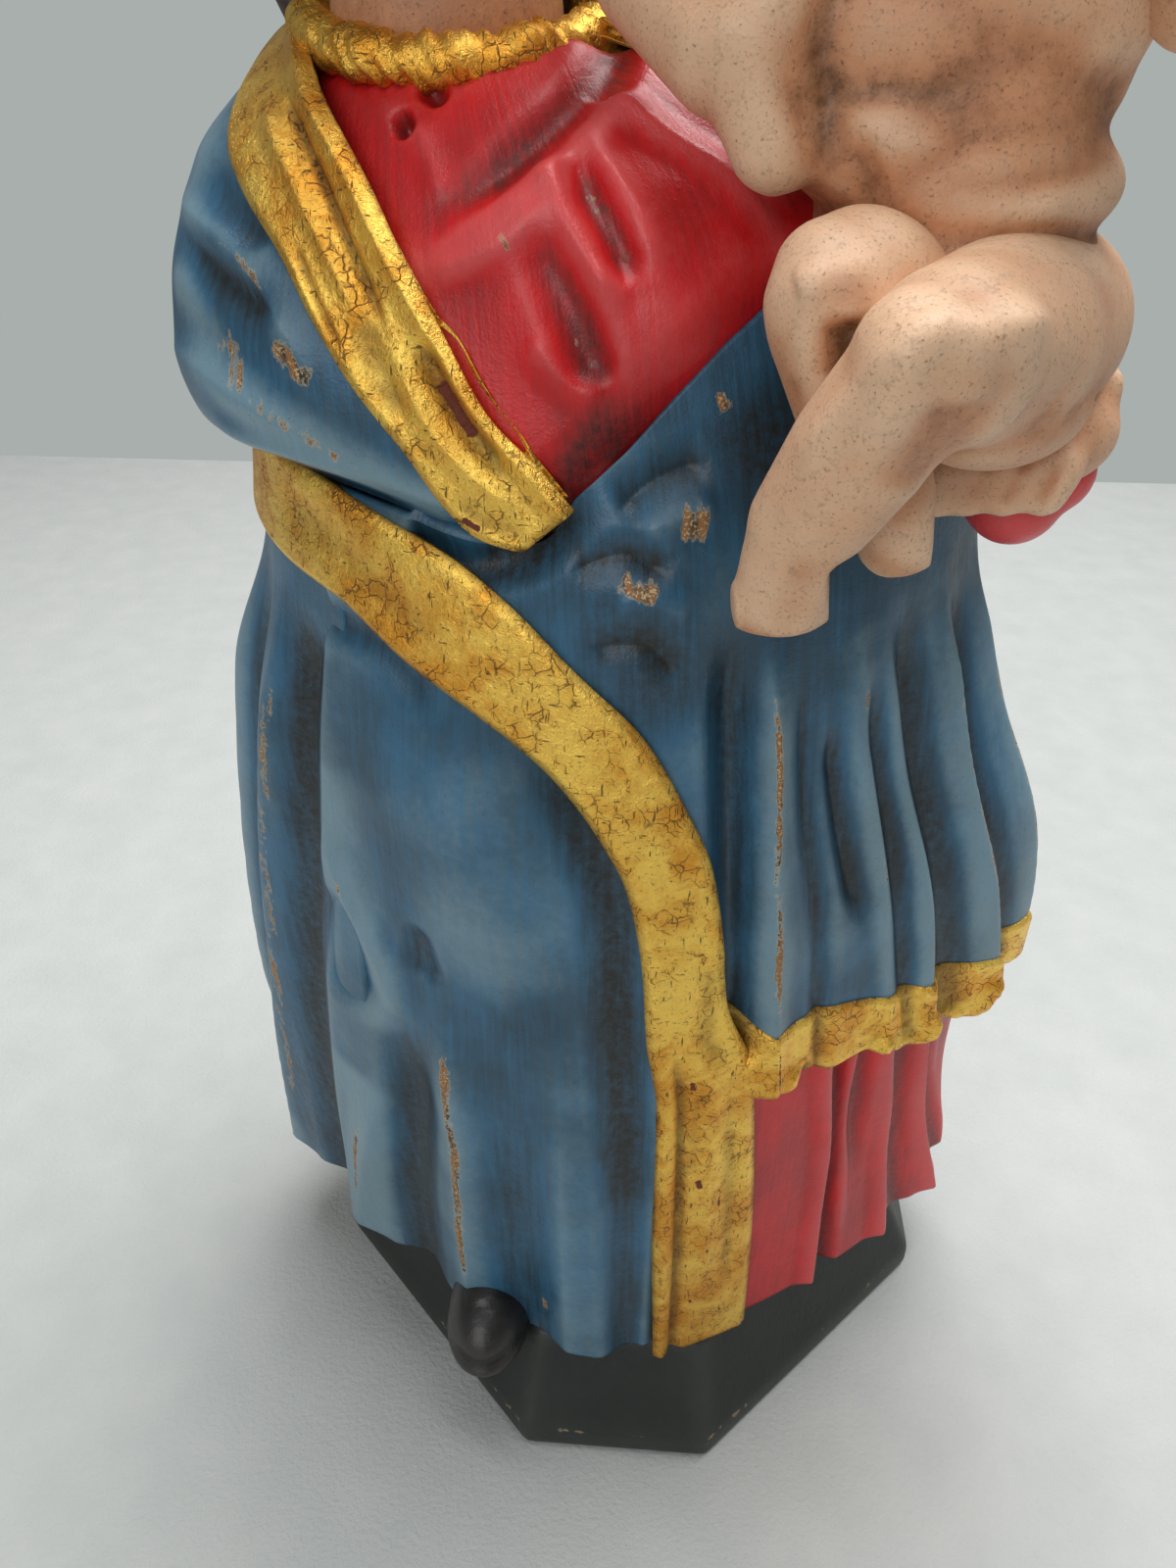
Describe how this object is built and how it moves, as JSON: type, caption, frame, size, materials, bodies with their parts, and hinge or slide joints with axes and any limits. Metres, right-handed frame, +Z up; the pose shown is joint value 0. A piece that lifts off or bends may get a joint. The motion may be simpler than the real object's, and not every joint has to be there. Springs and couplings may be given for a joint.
{
  "type": "madonna statue",
  "caption": "Carved and painted wooden figure of a robed mother holding a seated child on her left hand, standing on an eight-sided tapered plinth.",
  "frame": {"origin": "centre of the plinth's underside, on the surface that it stands on", "axes": "+Z up, the figure and the plinth's front short face look along -Y, +X is to the figure's left hand, the side of the child"},
  "size_m": [0.153, 0.1407, 0.3153],
  "materials": {
    "plinth_paint": "dark green-black paint on limewood, satin wax sheen, rubbed at the edges",
    "bare_wood": "turned beech dowel, bare",
    "screw_steel": "zinc-plated countersunk wood screw",
    "red_paint": "crimson glaze on gesso over limewood, brown antiquing in the hollows, satin",
    "blue_paint": "blue glaze on gesso over limewood, grey dry-brushed folds, edges rubbed to the wood",
    "gold_leaf": "gold leaf over brown bole on carved limewood, scratched and worn",
    "flesh_paint": "matt flesh tone on gesso over limewood, brown antiquing speckle",
    "hair_paint": "dark brown glaze over carved locks, satin",
    "child_hair_paint": "mid brown glaze over carved curls, satin",
    "shoe_paint": "black-brown paint, satin"
  },
  "bodies": {
    "root": {"plinth": "plinth_paint", "plinth_dowel_right": "bare_wood", "plinth_dowel_left": "bare_wood", "plinth_screw": "screw_steel", "mother_left_cuff": "red_paint", "mother_left_hand": "flesh_paint", "dress": "red_paint", "mantle_back": "blue_paint", "mantle_front_panel": "blue_paint", "mantle_hem_band": "gold_leaf", "mantle_sleeve": "blue_paint", "mantle_sleeve_border": "gold_leaf", "mantle_apron": "blue_paint", "mantle_apron_hem": "gold_leaf", "mantle_shoulder_border": "gold_leaf", "dress_collar": "gold_leaf", "mother_head": "flesh_paint", "mother_hair": "hair_paint", "mother_shoe": "shoe_paint", "child_body": "flesh_paint", "child_left_leg": "flesh_paint", "child_right_leg": "flesh_paint", "child_right_arm": "flesh_paint", "child_left_arm": "flesh_paint", "child_head": "flesh_paint", "child_hair": "child_hair_paint", "child_dowel": "bare_wood"}
  },
  "joints": []
}
